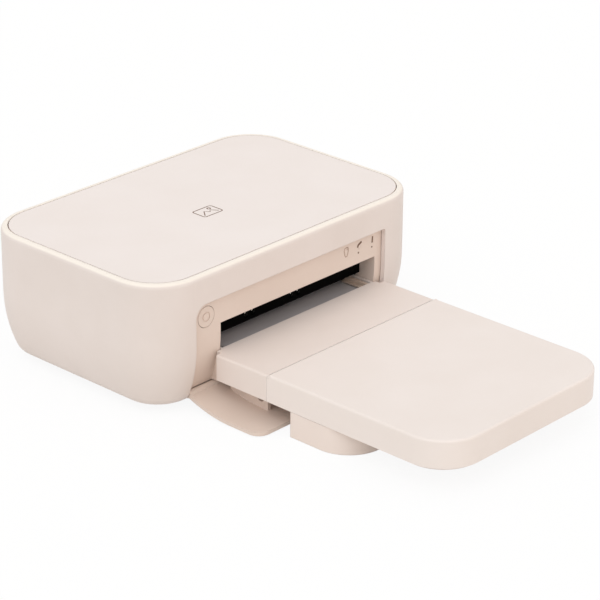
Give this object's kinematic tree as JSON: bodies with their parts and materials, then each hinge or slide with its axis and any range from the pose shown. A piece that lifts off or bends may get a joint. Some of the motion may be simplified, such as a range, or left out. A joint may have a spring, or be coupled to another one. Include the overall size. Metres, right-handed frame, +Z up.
{
  "type": "compact photo printer",
  "caption": "Compact photo printer: rounded box with drop-down front door, side ribbon door, power button and a push-in paper tray with hinged lid.",
  "frame": {"origin": "on the table, under the middle of the housing's footprint", "axes": "+X to the printer's right as seen from the front, -Y out of the front, +Z up"},
  "size_m": [0.194, 0.273, 0.0716],
  "materials": {
    "shell_plastic": "fine spark-eroded matte, warm cream pink",
    "top_plastic": "smooth satin, warm cream pink",
    "base_plastic": "matte, warm cream pink",
    "fascia_plastic": "fine matte, warm cream pink",
    "door_plastic": "fine matte, warm cream pink",
    "button_plastic": "satin, warm cream pink",
    "light_plastic": "translucent diffuser",
    "tray_plastic": "fine matte, warm cream pink",
    "lid_plastic": "smooth satin, warm cream pink",
    "tray_foot_plastic": "fine matte, warm cream pink",
    "guide_plastic": "matte, warm beige",
    "black_plastic": "fine matte black",
    "cartridge_plastic": "moulded dark grey",
    "white_nylon": "self-lubricating nylon",
    "foot_rubber": "matte rubber pad",
    "roller_rubber": "ground rubber",
    "photo_paper": "satin photo paper, grey back side",
    "sheet_steel": "galvanised sheet",
    "spring_steel": "spring wire",
    "shaft_steel": "ground steel",
    "pin_steel": "drawn steel pin",
    "motor_steel": "plated motor can",
    "pinion_brass": "machined brass",
    "sink_aluminium": "extruded aluminium",
    "head_ceramic": "glazed alumina heater bar",
    "ribbon_film": "dyed polyester film on a roll",
    "board_green": "solder-masked circuit board"
  },
  "bodies": {
    "housing": {"outer_housing": "shell_plastic", "top_panel": "top_plastic", "base_plate": "base_plastic", "rubber_feet": "foot_rubber", "front_fascia": "fascia_plastic", "front_door_pins": "pin_steel", "status_lights": "light_plastic", "side_door_pins": "pin_steel", "power_inlet": "black_plastic", "chassis_base": "black_plastic", "left_side_plate": "sheet_steel", "right_side_plate": "sheet_steel", "front_guide": "black_plastic", "paper_guides": "black_plastic", "head_pivot_shaft": "shaft_steel", "reduction_axle": "shaft_steel", "drive_motor": "motor_steel", "pickup_motor": "motor_steel", "gear_plate": "sheet_steel", "main_board": "board_green", "front_board": "board_green", "shaft_bushes": "white_nylon"},
    "front_door": {"front_door": "door_plastic"},
    "power_button": {"power_button": "button_plastic"},
    "side_door": {"side_door": "shell_plastic"},
    "tray": {"tray_tub": "tray_plastic", "tray_foot": "tray_foot_plastic", "paper_stack": "photo_paper", "tray_side_guide": "guide_plastic", "lift_springs": "spring_steel"},
    "tray_lid": {"tray_lid": "lid_plastic"},
    "lift_plate": {"lift_plate": "sheet_steel"},
    "exit_wheels": {"exit_wheels": "white_nylon"},
    "platen": {"platen_shaft": "shaft_steel", "platen_rubber": "roller_rubber"},
    "capstan": {"capstan_roller": "shaft_steel", "capstan_gear": "white_nylon"},
    "pinch": {"pinch_roller": "shaft_steel"},
    "pickup": {"pickup_shaft": "shaft_steel", "pickup_tyres": "roller_rubber", "pickup_gear": "white_nylon"},
    "head": {"print_head": "head_ceramic", "heat_sink": "sink_aluminium", "head_lever": "sheet_steel"},
    "cartridge": {"ribbon_cartridge": "cartridge_plastic", "ribbon_film": "ribbon_film"},
    "supply_spool": {"supply_spool": "ribbon_film"},
    "takeup_spool": {"takeup_spool": "ribbon_film"},
    "takeup_drive": {"takeup_drive": "white_nylon"},
    "reduction_gear": {"reduction_gear": "white_nylon"},
    "drive_pinion": {"motor_pinion": "pinion_brass"},
    "pickup_pinion": {"pickup_pinion": "pinion_brass"}
  },
  "joints": [
    {"name": "tray_slide", "type": "slide", "parent": "housing", "child": "tray", "axis": [0, -1, 0], "range_m": [0, 0.06]},
    {"name": "tray_lid_hinge", "type": "hinge", "parent": "tray", "child": "tray_lid", "pos_m": [0.0048, -0.09895, 0.0261], "axis": [-1, 0, 0], "range_deg": [0, 65]},
    {"name": "lift_plate_hinge", "type": "hinge", "parent": "tray", "child": "lift_plate", "pos_m": [0, -0.0941, 0.018], "axis": [-1, 0, 0], "range_deg": [0, 2], "stiffness_Nm_per_rad": 0.8, "springref_deg": -3.44, "deforming": ["lift_springs"]},
    {"name": "front_door_hinge", "type": "hinge", "parent": "housing", "child": "front_door", "pos_m": [-0.0015, -0.056, 0.0076], "axis": [-1, 0, 0], "range_deg": [0, 6]},
    {"name": "side_door_hinge", "type": "hinge", "parent": "housing", "child": "side_door", "pos_m": [0.0956, 0, 0.0349], "axis": [0, 1, 0], "range_deg": [0, 90]},
    {"name": "power_button_press", "type": "slide", "parent": "housing", "child": "power_button", "axis": [0, 1, 0], "range_m": [0, 0.0008], "stiffness_N_per_m": 700, "springref_m": -0.0006},
    {"name": "print_head_lift", "type": "hinge", "parent": "housing", "child": "head", "pos_m": [0, 0.046, 0.05883], "axis": [-1, 0, 0], "range_deg": [0, 6]},
    {"name": "ribbon_cartridge_slide", "type": "slide", "parent": "housing", "child": "cartridge", "axis": [1, 0, 0], "range_m": [0, 0.018]},
    {"name": "capstan_spin", "type": "hinge", "parent": "housing", "child": "capstan", "pos_m": [0, 0.017, 0.0254], "axis": [1, 0, 0], "continuous": true},
    {"name": "platen_spin", "type": "hinge", "parent": "housing", "child": "platen", "pos_m": [0, 0.002, 0.0226], "axis": [1, 0, 0], "continuous": true},
    {"name": "pinch_spin", "type": "hinge", "parent": "housing", "child": "pinch", "pos_m": [0, 0.017, 0.0322], "axis": [1, 0, 0], "continuous": true},
    {"name": "takeup_drive_spin", "type": "hinge", "parent": "housing", "child": "takeup_drive", "pos_m": [0, 0.024, 0.04583], "axis": [1, 0, 0], "continuous": true},
    {"name": "takeup_spool_spin", "type": "hinge", "parent": "cartridge", "child": "takeup_spool", "pos_m": [0, 0.024, 0.04583], "axis": [1, 0, 0], "continuous": true},
    {"name": "supply_spool_spin", "type": "hinge", "parent": "cartridge", "child": "supply_spool", "pos_m": [0, -0.018, 0.04583], "axis": [1, 0, 0], "continuous": true},
    {"name": "reduction_gear_spin", "type": "hinge", "parent": "housing", "child": "reduction_gear", "pos_m": [0, 0.03461, 0.02914], "axis": [1, 0, 0], "continuous": true},
    {"name": "drive_pinion_spin", "type": "hinge", "parent": "housing", "child": "drive_pinion", "pos_m": [0, 0.01452, 0.02376], "axis": [1, 0, 0], "continuous": true},
    {"name": "pickup_spin", "type": "hinge", "parent": "housing", "child": "pickup", "pos_m": [0, -0.039, 0.0322], "axis": [1, 0, 0], "continuous": true},
    {"name": "pickup_pinion_spin", "type": "hinge", "parent": "housing", "child": "pickup_pinion", "pos_m": [0, -0.02378, 0.03714], "axis": [1, 0, 0], "continuous": true},
    {"name": "exit_wheel_spin", "type": "hinge", "parent": "housing", "child": "exit_wheels", "pos_m": [0, -0.0491, 0.0345], "axis": [1, 0, 0], "continuous": true}
  ],
  "couplings": [
    {"joint": "reduction_gear_spin", "follows": "capstan_spin", "ratio": -2},
    {"joint": "drive_pinion_spin", "follows": "capstan_spin", "ratio": 6.6667},
    {"joint": "takeup_drive_spin", "follows": "capstan_spin", "ratio": -1.25},
    {"joint": "takeup_spool_spin", "follows": "capstan_spin", "ratio": -1.25},
    {"joint": "supply_spool_spin", "follows": "capstan_spin", "ratio": -0.85366},
    {"joint": "platen_spin", "follows": "capstan_spin", "ratio": 0.55556},
    {"joint": "pinch_spin", "follows": "capstan_spin", "ratio": -1.129},
    {"joint": "pickup_pinion_spin", "follows": "pickup_spin", "ratio": -2.3333}
  ]
}
